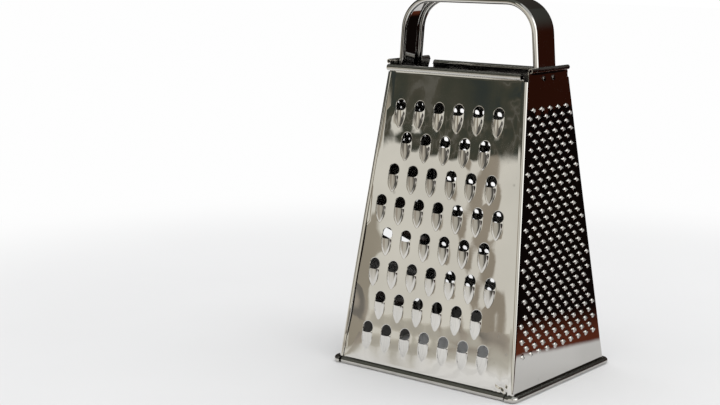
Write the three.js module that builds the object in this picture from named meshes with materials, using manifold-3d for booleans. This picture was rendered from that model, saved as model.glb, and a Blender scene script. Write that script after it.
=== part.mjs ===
// A four-sided box grater in polished stainless sheet: four perforated panels, a strap handle and its rivets.
// Millimetres, +Z up. The coarse front panel faces -Y, and the origin is the middle of the footprint.

import * as THREE from "three";
import { mergeVertices } from "three/addons/utils/BufferGeometryUtils.js";
import Module from "manifold-3d";

const wasm = await Module();
wasm.setup();

// Body: outer faces of the panels, at the worktop and at the height of the front and back rims.
const BASE_WIDTH = 110;
const BASE_DEPTH = 87;
const TOP_WIDTH = 85;
const TOP_DEPTH = 37;
const BODY_HEIGHT = 156;
const SIDE_RISE = 2.4; // the side panels stand this much higher than the front and back ones
const SHEET = 0.5;
const FIT = 0.2; // gap between pieces that bear on each other

// Rolled rims: outer radius of each curl, and where the curl stops.
const BASE_RIM = 1.6;
const FRONT_TOP_RIM = 1.65;
const SIDE_TOP_RIM = 1.2;
const RIM_STEP = 30; // degrees to a facet
const RIM_CLEARANCE = 0.25; // between the curl's free edge and the panel that it rolls back to
const RIM_END = 2.0; // a top rim stops this far short of the panel's edge
const RELIEF = 0.5; // notch in the sheet's outline where a rim or a fold ends

// Corner seams: a side panel folds round onto the front or back one, whose edge is tucked inside it.
const WRAP = 3.2;
const WRAP_BEND = 1.2;
const TUCK = 2.2;
const TUCK_BEND = 0.9;
const BEND_STEPS = 3;
const SEAM_DROP = 4; // from the front rim's top to the top of the folds
const TUCK_BASE = 8; // height of the tucked edges' lower ends
const TUCK_DROP = 8; // from the front rim's top to the tucked edges' upper ends

// Coarse scoops on the front: a round hole whose lower half is pressed out to a sharp lip.
const COARSE_RADIUS = 3.1;
const COARSE_LIFT = 1.2;
const COARSE_LENGTH = 12; // from the hole's centre to the scoop's tip
const COARSE_PITCH = 12;
const COARSE_ROW_PITCH = 16.6;
const COARSE_TOP_MARGIN = 20.7; // down the slope to the first row's centres
const COARSE_BASE_MARGIN = 18; // up the slope to the lowest place for a row
const COARSE_EDGE_MARGIN = 4.9; // least flat beside the outermost teeth
const COARSE_SHIFT = -1.4; // the pattern is punched a little to the left

// Outline and back of both kinds of scoop, whatever their size.
const SCOOP_SPREAD = 0.8; // below 1 the outline's points crowd towards the tip
const SCOOP_BULGE = 1.15; // the outline's greatest half width, as a share of the hole's radius
const SCOOP_FULLNESS = 3; // above 1 the outline keeps its width for longer
const SCOOP_POINT = 0.5; // below 1 the tip is blunter
const SCOOP_LIP = 0.7; // below 1 the lip is squarer than the hole
const SCOOP_SHOULDER = 0.68; // height halfway down the back, as a share of the lip's height

// Medium teeth on the back: small four-sided scoops.
const MEDIUM_RADIUS = 1.45;
const MEDIUM_LIFT = 0.9;
const MEDIUM_LENGTH = 4.6;
const MEDIUM_PITCH = 4.8;
const MEDIUM_ROW_PITCH = 5.6;
const MEDIUM_TOP_MARGIN = 16;
const MEDIUM_BASE_MARGIN = 14;
const MEDIUM_EDGE_MARGIN = 4.4;

// Rasp on the right: square-punched craters with a sharp rim.
const RASP_RADIUS = 2;
const RASP_RIM = 0.85;
const RASP_LIFT = 1.4;
const RASP_PITCH = 7.55;
const RASP_ROW_PITCH = 3.82;
const RASP_TOP_MARGIN = 18;
const RASP_BASE_MARGIN = 19;
const RASP_EDGE_MARGIN = 0.5;

// Slicing slots on the left: a wide, slanting ramp under each opening.
const SLOT_OPENING = 4.2;
const SLOT_LIFT = 2.2;
const SLOT_RAMP = 9.5;
const SLOT_CHEEK = 2.4;
const SLOT_SLANT = 0.4; // rise of a slot for its run across
const SLOT_PITCH = 27.5;
const SLOT_TOP_MARGIN = 70;
const SLOT_BASE_MARGIN = 25;
const SLOT_EDGE_MARGIN = 10.5;

// Small craters above the slots.
const FINE_RADIUS = 1;
const FINE_RIM = 0.5;
const FINE_LIFT = 0.5;
const FINE_PITCH = 4.8;
const FINE_ROW_PITCH = 3;
const FINE_TOP_MARGIN = 18;
const FINE_BASE_MARGIN = 113;
const FINE_EDGE_MARGIN = 2;

// Handle strap, with both long edges rolled to the inside of the bridge.
const STRAP_WIDTH = 18;
const STRAP_SHEET = 0.8;
const STRAP_ROLL = 1.5;
const STRAP_ROLL_STEPS = 6;
const STRAP_ROLL_TURN = 275; // degrees
const HANDLE_RISE = 35; // from the front rim's top to the top of the bridge
const HANDLE_BEND = 18;
const HANDLE_BEND_STEPS = 6;
const STRAP_DEPTH = 14; // how far the strap's ends reach down inside the body

// Rivets through the side panels and the strap.
const RIVET_SHANK = 0.8;
const RIVET_HEAD = 1.3;
const RIVET_HEAD_HEIGHT = 0.4;
const RIVET_HEAD_EDGE = 0.15; // straight edge below the dome, and chamfer of the set head
const RIVET_MARGIN = 0.4; // between a head and the strap's rolled edge
const RIVET_DROP = 3.2; // from the front rim's top to the rivets
const RIVET_SIDES = 12;
const RIVET_DOME_STEPS = 3;

const SEAM_TOP = BODY_HEIGHT - SEAM_DROP;
const TUCK_TOP = BODY_HEIGHT - TUCK_DROP;
const HANDLE_TOP = BODY_HEIGHT + HANDLE_RISE;
const STRAP_END = BODY_HEIGHT - STRAP_DEPTH;
const RIVET_HEIGHT = BODY_HEIGHT - RIVET_DROP;
const RIVET_OFFSET = STRAP_WIDTH / 2 - 2 * STRAP_ROLL - RIVET_HEAD - RIVET_MARGIN;
const RIVET_HOLE = RIVET_SHANK + FIT;
const RIVET_GRIP = SHEET + STRAP_SHEET + 2 * FIT;

const COARSE = {
  radius: COARSE_RADIUS,
  lift: COARSE_LIFT,
  length: COARSE_LENGTH,
  steps: 6,
  shoulder: true,
  pitch: COARSE_PITCH,
  rowPitch: COARSE_ROW_PITCH,
  topMargin: COARSE_TOP_MARGIN,
  baseMargin: COARSE_BASE_MARGIN,
  edgeMargin: COARSE_EDGE_MARGIN,
  shift: COARSE_SHIFT,
  oddFirst: false,
};
const MEDIUM = {
  radius: MEDIUM_RADIUS,
  lift: MEDIUM_LIFT,
  length: MEDIUM_LENGTH,
  steps: 2,
  shoulder: false,
  pitch: MEDIUM_PITCH,
  rowPitch: MEDIUM_ROW_PITCH,
  topMargin: MEDIUM_TOP_MARGIN,
  baseMargin: MEDIUM_BASE_MARGIN,
  edgeMargin: MEDIUM_EDGE_MARGIN,
  shift: 0,
  oddFirst: true,
};
const RASP = {
  radius: RASP_RADIUS,
  rim: RASP_RIM,
  lift: RASP_LIFT,
  pitch: RASP_PITCH,
  rowPitch: RASP_ROW_PITCH,
  topMargin: RASP_TOP_MARGIN,
  baseMargin: RASP_BASE_MARGIN,
  edgeMargin: RASP_EDGE_MARGIN,
  shift: 0,
  oddFirst: true,
};
const FINE = {
  radius: FINE_RADIUS,
  rim: FINE_RIM,
  lift: FINE_LIFT,
  pitch: FINE_PITCH,
  rowPitch: FINE_ROW_PITCH,
  topMargin: FINE_TOP_MARGIN,
  baseMargin: FINE_BASE_MARGIN,
  edgeMargin: FINE_EDGE_MARGIN,
  shift: 0,
  oddFirst: true,
};

const SAME_PLACE = 1e-4; // corners closer than this are one
const FLAT = 1e-6; // twice the area, in square millimetres, below which three corners are in line
const radians = THREE.MathUtils.degToRad;
const widthAt = (z) => THREE.MathUtils.lerp(BASE_WIDTH, TOP_WIDTH, z / BODY_HEIGHT);
const depthAt = (z) => THREE.MathUtils.lerp(BASE_DEPTH, TOP_DEPTH, z / BODY_HEIGHT);
const FRONT_LEAN = Math.atan((BASE_DEPTH - TOP_DEPTH) / 2 / BODY_HEIGHT);
const SIDE_LEAN = Math.atan((BASE_WIDTH - TOP_WIDTH) / 2 / BODY_HEIGHT);

const STEEL = { color: 0xc9c6c0, roughness: 0.12, metalness: 1 };
const steel = (changes = {}) => new THREE.MeshStandardMaterial({ ...STEEL, ...changes });

// A piece of sheet metal as an open surface whose every point has an outer and an inner place.
// A sharp point has one place for both, as on a cutting edge.
class Sheet {
  constructor() {
    this.places = [];
    this.outer = [];
    this.inner = [];
    this.faces = [];
  }

  point(outer, inner) {
    const index = this.outer.length;
    this.outer.push(this.places.push(outer) - 1);
    this.inner.push(inner ? this.places.push(inner) - 1 : this.outer[index]);
    return index;
  }

  triangle(a, b, c) {
    this.faces.push([a, b, c]);
  }

  quad(a, b, c, d) {
    this.triangle(a, b, c);
    this.triangle(a, c, d);
  }

  // Both sides of the sheet, and a wall along each of its free edges.
  geometry() {
    const triangles = [];
    const free = new Map();
    for (const [a, b, c] of this.faces) {
      triangles.push([this.outer[a], this.outer[b], this.outer[c]]);
      triangles.push([this.inner[c], this.inner[b], this.inner[a]]);
      for (const [from, to] of [[a, b], [b, c], [c, a]]) {
        if (!free.delete(`${to},${from}`)) free.set(`${from},${to}`, [from, to]);
      }
    }
    for (const [from, to] of free.values()) {
      triangles.push([this.outer[to], this.outer[from], this.inner[from]]);
      triangles.push([this.outer[to], this.inner[from], this.inner[to]]);
    }
    const solid = triangles.filter(([a, b, c]) => a !== b && b !== c && c !== a);
    const made = new THREE.BufferGeometry().setFromPoints(this.places);
    made.setIndex(solid.flat());
    made.computeVertexNormals();
    return made;
  }
}

// One flat, leaning face of the body, as if it faced -Y: u runs across, v up the slope, w out of the face.
class Face {
  constructor({ reach, lean, flatEdge }) {
    this.reach = reach; // from the body's axis to the outer face, at the worktop
    this.lean = lean;
    this.flatEdge = flatEdge; // half the flat's width at a height
  }

  on(u, v, w = 0) {
    const out = this.reach - v * Math.sin(this.lean) + w * Math.cos(this.lean);
    return new THREE.Vector3(u, -out, v * Math.cos(this.lean) + w * Math.sin(this.lean));
  }

  slope(z) {
    return z / Math.cos(this.lean);
  }

  height(v) {
    return v * Math.cos(this.lean);
  }

  outAt(z) {
    return this.reach - z * Math.tan(this.lean);
  }
}

// Twice the area of a flat triangle, positive when it turns to the left.
function turnOf([a, b, c], places) {
  return places[b].clone().sub(places[a]).cross(places[c].clone().sub(places[a]));
}

// Triangles that all turn to the left, without those that have no area.
function facingOut(triangles, places) {
  return triangles
    .filter((corners) => Math.abs(turnOf(corners, places)) > FLAT)
    .map(([a, b, c]) => (turnOf([a, b, c], places) > 0 ? [a, b, c] : [a, c, b]));
}

// Divides each triangle whose free side runs straight through another corner.
function divideSides(triangles, places) {
  const sides = new Set(triangles.flatMap(([a, b, c]) => [`${a},${b}`, `${b},${c}`, `${c},${a}`]));
  const between = (a, b, c) => {
    const along = places[b].clone().sub(places[a]);
    const share = places[c].clone().sub(places[a]).dot(along) / along.lengthSq();
    return share > FLAT && share < 1 - FLAT && Math.abs(turnOf([a, b, c], places)) < FLAT;
  };
  return triangles.flatMap(([a, b, c]) => {
    for (const [from, to, apex] of [[a, b, c], [b, c, a], [c, a, b]]) {
      if (sides.has(`${to},${from}`)) continue;
      const on = places.findIndex((_, k) => between(from, to, k));
      if (on >= 0) return divideSides([[from, on, apex], [on, to, apex]], places);
    }
    return [[a, b, c]];
  });
}

// A panel under construction: the sheet, its flat outline and the rings where teeth are set into the flat.
class Panel {
  constructor(face) {
    this.face = face;
    this.sheet = new Sheet();
    this.rings = [];
  }

  flatPoint(u, v) {
    return this.sheet.point(this.face.on(u, v), this.face.on(u, v, -SHEET));
  }

  raisedPoint(u, v, lift) {
    return this.sheet.point(this.face.on(u, v, lift), this.face.on(u, v, lift - SHEET));
  }

  sharpPoint(u, v, lift) {
    return this.sheet.point(this.face.on(u, v, lift));
  }

  // A closed ring of [u, v] points cut out of the flat. Returns their indices.
  ring(points) {
    const indices = points.map(([u, v]) => this.flatPoint(u, v));
    this.rings.push({ points, indices });
    return indices;
  }

  // The flat itself, inside the outline of [u, z] points and around the rings.
  fill(outline) {
    const points = outline.map(([u, z]) => [u, this.face.slope(z)]);
    const corners = points.map(([u, v]) => this.flatPoint(u, v));
    const flat = (list) => list.map(([u, v]) => new THREE.Vector2(u, v));
    const holes = this.rings.map((ring) => flat(ring.points));
    const indices = [...corners, ...this.rings.flatMap((ring) => ring.indices)];
    const places = [...flat(points), ...holes.flat()];
    const triangles = facingOut(THREE.ShapeUtils.triangulateShape(flat(points), holes), places);
    for (const [a, b, c] of divideSides(triangles, places)) {
      this.sheet.triangle(indices[a], indices[b], indices[c]);
    }
    return corners;
  }

  // Joins two rows of points that run the same way: the first row's side of the strip is its right hand.
  strip(near, far) {
    for (let i = 0; i + 1 < near.length; i++) {
      this.sheet.quad(near[i + 1], near[i], far[i], far[i + 1]);
    }
  }
}

// Rows of [u, v] places up a face, staggered by half a pitch, each as wide as the face allows.
function staggered(face, pattern) {
  const places = [];
  const top = face.slope(BODY_HEIGHT) - pattern.topMargin;
  let odd = pattern.oddFirst;
  for (let v = top; v >= pattern.baseMargin; v -= pattern.rowPitch) {
    const beside = pattern.radius + pattern.edgeMargin + Math.abs(pattern.shift);
    const room = face.flatEdge(face.height(v)) - beside;
    const reach = odd ? Math.floor(room / pattern.pitch) : Math.floor(room / pattern.pitch + 0.5) - 0.5;
    for (let i = -reach; i <= reach; i++) places.push([i * pattern.pitch + pattern.shift, v]);
    odd = !odd;
  }
  return places;
}

// A round hole whose lower half is pressed out into a tapering scoop with a sharp upper lip.
function addScoop(panel, u, v, { radius, lift, length, steps, shoulder }) {
  const turns = Array.from({ length: steps + 1 }, (_, k) => (Math.PI * k) / steps);
  const upper = turns.map((t) => [u + radius * Math.cos(t), v + radius * Math.sin(t)]);
  const inside = turns.slice(1, -1);
  const lower = inside.map((t) => {
    const along = Math.sin(t) ** SCOOP_SPREAD;
    const half = radius * SCOOP_BULGE * (1 - along ** SCOOP_FULLNESS) ** SCOOP_POINT;
    return [u + Math.sign(Math.cos(t)) * half, v - length * along];
  });
  const ring = panel.ring([...upper, ...lower.slice().reverse()]);
  const right = ring[0];
  const left = ring[steps];
  const foot = ring.slice(steps + 1).reverse();
  const squared = (share) => Math.sign(share) * Math.abs(share) ** SCOOP_LIP;
  const brink = inside.map((t) => [u + radius * squared(Math.cos(t)), v - radius * squared(Math.sin(t))]);
  const rise = inside.map((t) => lift * squared(Math.sin(t)));
  const lip = brink.map(([a, b], k) => panel.sharpPoint(a, b, rise[k]));
  const rows = [lip, foot];
  if (shoulder) {
    const middle = brink.map(([a, b], k) =>
      panel.raisedPoint((a + lower[k][0]) / 2, (b + lower[k][1]) / 2, rise[k] * SCOOP_SHOULDER),
    );
    rows.splice(1, 0, middle);
  }
  for (let k = 0; k + 1 < rows.length; k++) {
    panel.sheet.triangle(right, rows[k][0], rows[k + 1][0]);
    panel.sheet.triangle(left, rows[k + 1].at(-1), rows[k].at(-1));
    panel.strip(rows[k].slice().reverse(), rows[k + 1].slice().reverse());
  }
}

// A crater left by a square punch, with a sharp rim round its hole.
function addSpike(panel, u, v, { radius, rim, lift }) {
  const quarter = [0, 1, 2, 3].map((k) => [Math.cos((k * Math.PI) / 2), Math.sin((k * Math.PI) / 2)]);
  const foot = panel.ring(quarter.map(([a, b]) => [u + radius * a, v + radius * b]));
  const edge = quarter.map(([a, b]) => panel.sharpPoint(u + rim * a, v + rim * b, lift));
  for (let k = 0; k < 4; k++) {
    const next = (k + 1) % 4;
    panel.sheet.quad(foot[k], foot[next], edge[next], edge[k]);
  }
}

// A wide, slanting opening over a ramp that ends in a straight, sharp blade.
function addSlot(panel, v, half) {
  const slope = half - SLOT_CHEEK;
  const at = (across, up) => [across, v + up + SLOT_SLANT * across];
  const ring = panel.ring([
    at(half, 0),
    at(slope, SLOT_OPENING),
    at(-slope, SLOT_OPENING),
    at(-half, 0),
    at(-slope, -SLOT_RAMP),
    at(slope, -SLOT_RAMP),
  ]);
  const [right, , , left, footLeft, footRight] = ring;
  const bladeLeft = panel.sharpPoint(...at(-slope, 0), SLOT_LIFT);
  const bladeRight = panel.sharpPoint(...at(slope, 0), SLOT_LIFT);
  panel.sheet.triangle(right, bladeRight, footRight);
  panel.sheet.triangle(left, footLeft, bladeLeft);
  panel.sheet.quad(bladeLeft, footLeft, footRight, bladeRight);
}

// Angles of a curl from the sheet, round by the outside, to just clear of the sheet again.
function curlAngles(radius) {
  const closed = (Math.acos((radius - SHEET - RIM_CLEARANCE) / radius) * 180) / Math.PI;
  const first = 270 - RIM_STEP / 2;
  const last = 540 - closed;
  const angles = [(180 + first) / 2];
  for (let a = first; a < last - RIM_STEP / 2; a += RIM_STEP) angles.push(a);
  return [...angles, last].map(radians);
}

// Rolls a free edge of the sheet outwards.
// Each station is a place on the outer face with its outward direction.
// The curl turns downwards for a base rim (turn 1) and upwards for a top rim (turn -1).
function addCurl(panel, edge, stations, radius, centreHeight, turn) {
  const bore = radius - SHEET;
  let near = edge;
  for (const angle of curlAngles(radius)) {
    const place = ({ across, out, toAcross, toOut }, r) => {
      const push = bore + r * Math.cos(angle);
      return new THREE.Vector3(
        across + toAcross * push,
        -(out + toOut * push),
        centreHeight + turn * r * Math.sin(angle),
      );
    };
    const far = stations.map((s) => panel.sheet.point(place(s, bore), place(s, radius)));
    if (turn > 0) panel.strip(near, far);
    else panel.strip(near.slice().reverse(), far.slice().reverse());
    near = far;
  }
}

const facetDrop = (radius) => radius * Math.cos(radians(RIM_STEP / 2));
const BASE_RIM_CENTRE = facetDrop(BASE_RIM);

// The straight top rim that all four panels have, along the outline's two top points.
function addTopRim(panel, edge, rimEnds, radius, centre) {
  const out = panel.face.outAt(centre);
  const stations = rimEnds.map((across) => ({ across, out, toAcross: 0, toOut: 1 }));
  addCurl(panel, edge, stations, radius, centre, -1);
}

// Steps round a square bend of the sheet: the turn, and how far past the bend, which is not at all.
const BEND_TURNS = Array.from({ length: BEND_STEPS }, (_, k) => [((k + 1) / BEND_STEPS) * (Math.PI / 2), 0]);

// Front and back panels: rims across the flat, and side edges tucked inside the side panels.
function makeTuckedPanel(pattern) {
  const inset = (SHEET + FIT) / Math.cos(SIDE_LEAN);
  const tuckAt = (z) => widthAt(z) / 2 - inset;
  const bendAt = (z) => tuckAt(z) - TUCK_BEND;
  const face = new Face({ reach: BASE_DEPTH / 2, lean: FRONT_LEAN, flatEdge: bendAt });
  const panel = new Panel(face);
  for (const [u, v] of staggered(face, pattern)) addScoop(panel, u, v, pattern);

  const low = BASE_RIM_CENTRE;
  const high = BODY_HEIGHT - facetDrop(FRONT_TOP_RIM);
  const baseRim = widthAt(low) / 2 - WRAP - 2 * RELIEF;
  const topRim = widthAt(high) / 2 - RIM_END;
  const side = [
    [baseRim, low],
    [baseRim + RELIEF, low + RELIEF],
    [bendAt(low + RELIEF) - RELIEF, low + RELIEF],
    [bendAt(TUCK_BASE) - RELIEF, TUCK_BASE],
    [bendAt(TUCK_BASE + RELIEF), TUCK_BASE + RELIEF],
    [bendAt(TUCK_TOP), TUCK_TOP],
    [bendAt(TUCK_TOP + RELIEF) - RELIEF, TUCK_TOP + RELIEF],
    [bendAt(high - RELIEF) - RELIEF, high - RELIEF],
    [topRim + pattern.shift / 2 + RELIEF, high - RELIEF],
    [topRim + pattern.shift / 2, high],
  ];
  const mirrored = side.map(([u, z]) => [-u, z]).reverse();
  for (const k of [0, 1]) mirrored[k][0] += pattern.shift;
  const corners = panel.fill([...side, ...mirrored]);
  const last = corners.length - 1;

  const tuck = (hand, base, top) => {
    const column = (z, turn, straight) => {
      const centre = [tuckAt(z) - TUCK_BEND, face.outAt(z) - TUCK_BEND];
      const place = (r) => {
        const across = centre[0] + r * Math.sin(turn);
        return new THREE.Vector3(hand * across, -(centre[1] + r * Math.cos(turn) - straight), z);
      };
      return panel.sheet.point(place(TUCK_BEND), place(TUCK_BEND - SHEET));
    };
    let near = [base, top];
    for (const [turn, straight] of [...BEND_TURNS, [Math.PI / 2, TUCK - TUCK_BEND]]) {
      const far = [column(TUCK_BASE + RELIEF, turn, straight), column(TUCK_TOP, turn, straight)];
      if (hand > 0) panel.strip(near, far);
      else panel.strip(near.slice().reverse(), far.slice().reverse());
      near = far;
    }
  };
  tuck(1, corners[4], corners[5]);
  tuck(-1, corners[last - 4], corners[last - 5]);

  const baseStations = [-baseRim, baseRim].map((across) => ({
    across, out: face.outAt(low), toAcross: 0, toOut: 1,
  }));
  addCurl(panel, [corners[last], corners[0]], baseStations, BASE_RIM, low, 1);
  const topEdge = [corners[last - 9], corners[9]];
  const rimEnds = [-topRim + pattern.shift / 2, topRim + pattern.shift / 2];
  addTopRim(panel, topEdge, rimEnds, FRONT_TOP_RIM, high);
  return panel.sheet.geometry();
}

// Side panels: both edges fold round onto the front and back panels, and the base rim goes round with them.
function makeWrappedPanel(addTeeth) {
  const outset = (SHEET + FIT) / Math.cos(FRONT_LEAN);
  const wrapAt = (z) => depthAt(z) / 2 + outset;
  const bendAt = (z) => wrapAt(z) - WRAP_BEND;
  const face = new Face({ reach: BASE_WIDTH / 2, lean: SIDE_LEAN, flatEdge: bendAt });
  const panel = new Panel(face);
  addTeeth(panel);

  for (const u of [-RIVET_OFFSET, RIVET_OFFSET]) {
    const turns = Array.from({ length: RIVET_SIDES }, (_, k) => (2 * Math.PI * k) / RIVET_SIDES);
    const v = face.slope(RIVET_HEIGHT);
    panel.ring(turns.map((t) => [u + RIVET_HOLE * Math.cos(t), v + RIVET_HOLE * Math.sin(t)]));
  }

  const low = BASE_RIM_CENTRE;
  const high = BODY_HEIGHT + SIDE_RISE - facetDrop(SIDE_TOP_RIM);
  const topRim = depthAt(high) / 2 - RIM_END / 2;
  const side = [
    [bendAt(low), low],
    [bendAt(SEAM_TOP), SEAM_TOP],
    [bendAt(SEAM_TOP + RELIEF) - RELIEF, SEAM_TOP + RELIEF],
    [topRim + RELIEF, high - RELIEF],
    [topRim, high],
  ];
  const mirrored = side.map(([u, z]) => [-u, z]).reverse();
  const corners = panel.fill([...side, ...mirrored]);
  const last = corners.length - 1;

  // The fold round a corner, from the flat outwards. Returns its lower points and their rim stations.
  const fold = (hand, base, top) => {
    const station = (z, turn, straight) => {
      const centre = [bendAt(z), face.outAt(z) - WRAP_BEND];
      return {
        across: hand * (centre[0] + WRAP_BEND * Math.sin(turn)),
        out: centre[1] + WRAP_BEND * Math.cos(turn) - straight,
        toAcross: hand * Math.sin(turn),
        toOut: Math.cos(turn),
      };
    };
    const point = (z, turn, straight) => {
      const s = station(z, turn, straight);
      const place = (depth) =>
        new THREE.Vector3(s.across - s.toAcross * depth, -(s.out - s.toOut * depth), z);
      return panel.sheet.point(place(0), place(SHEET));
    };
    const rim = [];
    let near = [base, top];
    for (const [turn, straight] of [...BEND_TURNS, [Math.PI / 2, WRAP - WRAP_BEND]]) {
      const far = [point(low, turn, straight), point(SEAM_TOP, turn, straight)];
      if (hand > 0) panel.strip(near, far);
      else panel.strip(near.slice().reverse(), far.slice().reverse());
      rim.push({ index: far[0], station: station(low, turn, straight) });
      near = far;
    }
    return rim;
  };
  const rightFold = fold(1, corners[0], corners[1]);
  const leftFold = fold(-1, corners[last], corners[last - 1]);

  const flatStation = (across) => ({ across, out: face.outAt(low), toAcross: 0, toOut: 1 });
  const baseEdge = [
    ...leftFold.slice().reverse(),
    { index: corners[last], station: flatStation(-bendAt(low)) },
    { index: corners[0], station: flatStation(bendAt(low)) },
    ...rightFold,
  ];
  addCurl(panel, baseEdge.map((e) => e.index), baseEdge.map((e) => e.station), BASE_RIM, low, 1);
  addTopRim(panel, [corners[last - 4], corners[4]], [-topRim, topRim], SIDE_TOP_RIM, high);
  return panel.sheet.geometry();
}

function addRasp(panel) {
  for (const [u, v] of staggered(panel.face, RASP)) addSpike(panel, u, v, RASP);
}

function addSlicer(panel) {
  const top = panel.face.slope(BODY_HEIGHT) - SLOT_TOP_MARGIN;
  for (let v = top; v >= SLOT_BASE_MARGIN; v -= SLOT_PITCH) {
    addSlot(panel, v, panel.face.flatEdge(panel.face.height(v)) - SLOT_EDGE_MARGIN);
  }
  for (const [u, v] of staggered(panel.face, FINE)) addSpike(panel, u, v, FINE);
}

// The side panels' inner faces, which the strap's legs lie against.
const strapOutAt = (z) => widthAt(z) / 2 - (SHEET + FIT) / Math.cos(SIDE_LEAN);

// Stations of the strap's outer face round the bridge, from the foot of one leg to the foot of the other.
function bridgeStations() {
  const lean = SIDE_LEAN;
  const centreZ = HANDLE_TOP - HANDLE_BEND;
  const tangentZ = centreZ + HANDLE_BEND * Math.sin(lean);
  const centreX = strapOutAt(tangentZ) - HANDLE_BEND * Math.cos(lean);
  const half = [{ x: strapOutAt(STRAP_END), z: STRAP_END, angle: lean }];
  for (let k = 0; k <= HANDLE_BEND_STEPS; k++) {
    const angle = THREE.MathUtils.lerp(lean, Math.PI / 2, k / HANDLE_BEND_STEPS);
    half.push({
      x: centreX + HANDLE_BEND * Math.cos(angle),
      z: centreZ + HANDLE_BEND * Math.sin(angle),
      angle,
    });
  }
  const other = half.map(({ x, z, angle }) => ({ x: -x, z, angle: Math.PI - angle })).reverse();
  return [...half, ...other];
}

// The strap's section: places across it and in from its outer face, for both sides of its sheet.
function strapSection() {
  const bore = STRAP_ROLL - STRAP_SHEET;
  const roll = Array.from({ length: STRAP_ROLL_STEPS + 1 }, (_, k) =>
    radians((STRAP_ROLL_TURN * k) / STRAP_ROLL_STEPS),
  );
  const centre = STRAP_WIDTH / 2 - STRAP_ROLL;
  const half = roll.map((turn) => {
    const place = (r) => [centre + r * Math.sin(turn), STRAP_ROLL - r * Math.cos(turn)];
    return { outer: place(STRAP_ROLL), inner: place(bore) };
  });
  const flip = ([across, depth]) => [-across, depth];
  const mirrored = half.map(({ outer, inner }) => ({ outer: flip(outer), inner: flip(inner) })).reverse();
  return [...mirrored, ...half];
}

// A closed geometry as a solid that can be cut, and the way back.
function solidOf(geometry) {
  const bare = geometry.clone();
  bare.deleteAttribute("normal");
  bare.deleteAttribute("uv");
  const merged = mergeVertices(bare, SAME_PLACE);
  const mesh = new wasm.Mesh({
    numProp: 3,
    vertProperties: new Float32Array(merged.attributes.position.array),
    triVerts: new Uint32Array(merged.index.array),
  });
  return new wasm.Manifold(mesh);
}

function geometryOf(solid) {
  const mesh = solid.getMesh();
  const made = new THREE.BufferGeometry();
  made.setAttribute("position", new THREE.BufferAttribute(mesh.vertProperties, 3));
  made.setIndex(new THREE.BufferAttribute(mesh.triVerts, 1));
  made.computeVertexNormals();
  return made;
}

// A rivet's frame: its axis points out of the side panel, from the panel's outer face.
function rivetFrame(hand, y) {
  const frame = new THREE.Object3D();
  frame.position.set(hand * (widthAt(RIVET_HEIGHT) / 2), y, RIVET_HEIGHT);
  frame.rotation.y = hand * (Math.PI / 2 - SIDE_LEAN);
  return frame;
}

const RIVET_PLACES = [
  { name: "handle_rivet_right_front", hand: 1, y: -RIVET_OFFSET },
  { name: "handle_rivet_right_back", hand: 1, y: RIVET_OFFSET },
  { name: "handle_rivet_left_front", hand: -1, y: -RIVET_OFFSET },
  { name: "handle_rivet_left_back", hand: -1, y: RIVET_OFFSET },
];

function makeHandle() {
  const sheet = new Sheet();
  const section = strapSection();
  const rows = bridgeStations().map(({ x, z, angle }) => {
    const place = ([across, depth]) =>
      new THREE.Vector3(x - depth * Math.cos(angle), across, z - depth * Math.sin(angle));
    return section.map(({ outer, inner }) => sheet.point(place(outer), place(inner)));
  });
  for (let i = 0; i + 1 < rows.length; i++) {
    for (let k = 0; k + 1 < section.length; k++) {
      sheet.quad(rows[i][k], rows[i][k + 1], rows[i + 1][k + 1], rows[i + 1][k]);
    }
  }
  let strap = solidOf(sheet.geometry());
  for (const { hand, y } of RIVET_PLACES) {
    const drill = new THREE.CylinderGeometry(RIVET_HOLE, RIVET_HOLE, 2 * RIVET_GRIP, RIVET_SIDES);
    drill.rotateX(Math.PI / 2);
    const frame = rivetFrame(hand, y);
    frame.updateMatrix();
    drill.applyMatrix4(frame.matrix);
    strap = strap.subtract(solidOf(drill));
  }
  return geometryOf(strap);
}

// Turned rivet: a low domed head outside the panel, and a flat set head inside the strap.
function makeRivet() {
  const dome = Array.from({ length: RIVET_DOME_STEPS }, (_, k) => {
    const rise = (k / RIVET_DOME_STEPS) * (Math.PI / 2);
    const crown = RIVET_HEAD_HEIGHT - RIVET_HEAD_EDGE;
    return [RIVET_HEAD * Math.cos(rise), FIT + RIVET_HEAD_EDGE + crown * Math.sin(rise)];
  });
  const profile = [
    [0, -RIVET_GRIP - RIVET_HEAD_HEIGHT],
    [RIVET_HEAD - RIVET_HEAD_EDGE, -RIVET_GRIP - RIVET_HEAD_HEIGHT],
    [RIVET_HEAD, -RIVET_GRIP],
    [RIVET_SHANK, -RIVET_GRIP],
    [RIVET_SHANK, FIT],
    [RIVET_HEAD, FIT],
    ...dome,
    [0, FIT + RIVET_HEAD_HEIGHT],
  ].map(([r, h]) => new THREE.Vector2(r, h));
  const made = new THREE.LatheGeometry(profile, RIVET_SIDES);
  made.rotateX(Math.PI / 2);
  return made;
}

const grater = new THREE.Group();

function place(name, geometry, turn, material) {
  const mesh = new THREE.Mesh(geometry, material);
  mesh.name = name;
  const side = new THREE.Group();
  side.rotation.z = turn;
  side.add(mesh);
  grater.add(side);
}

place("front_panel", makeTuckedPanel(COARSE), 0, steel());
place("right_panel", makeWrappedPanel(addRasp), Math.PI / 2, steel());
place("back_panel", makeTuckedPanel(MEDIUM), Math.PI, steel());
place("left_panel", makeWrappedPanel(addSlicer), -Math.PI / 2, steel());
place("handle", makeHandle(), 0, steel({ roughness: 0.1 }));

for (const { name, hand, y } of RIVET_PLACES) {
  const rivet = new THREE.Mesh(makeRivet(), steel({ roughness: 0.2 }));
  rivet.name = name;
  const frame = rivetFrame(hand, y);
  rivet.position.copy(frame.position);
  rivet.rotation.copy(frame.rotation);
  grater.add(rivet);
}

export default grater;
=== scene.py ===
# A four-sided box grater in polished stainless sheet: fine sheet pieces, steel, stage, light and camera.
# Shapes are worked out in millimetres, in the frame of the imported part, and written in metres.

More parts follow.
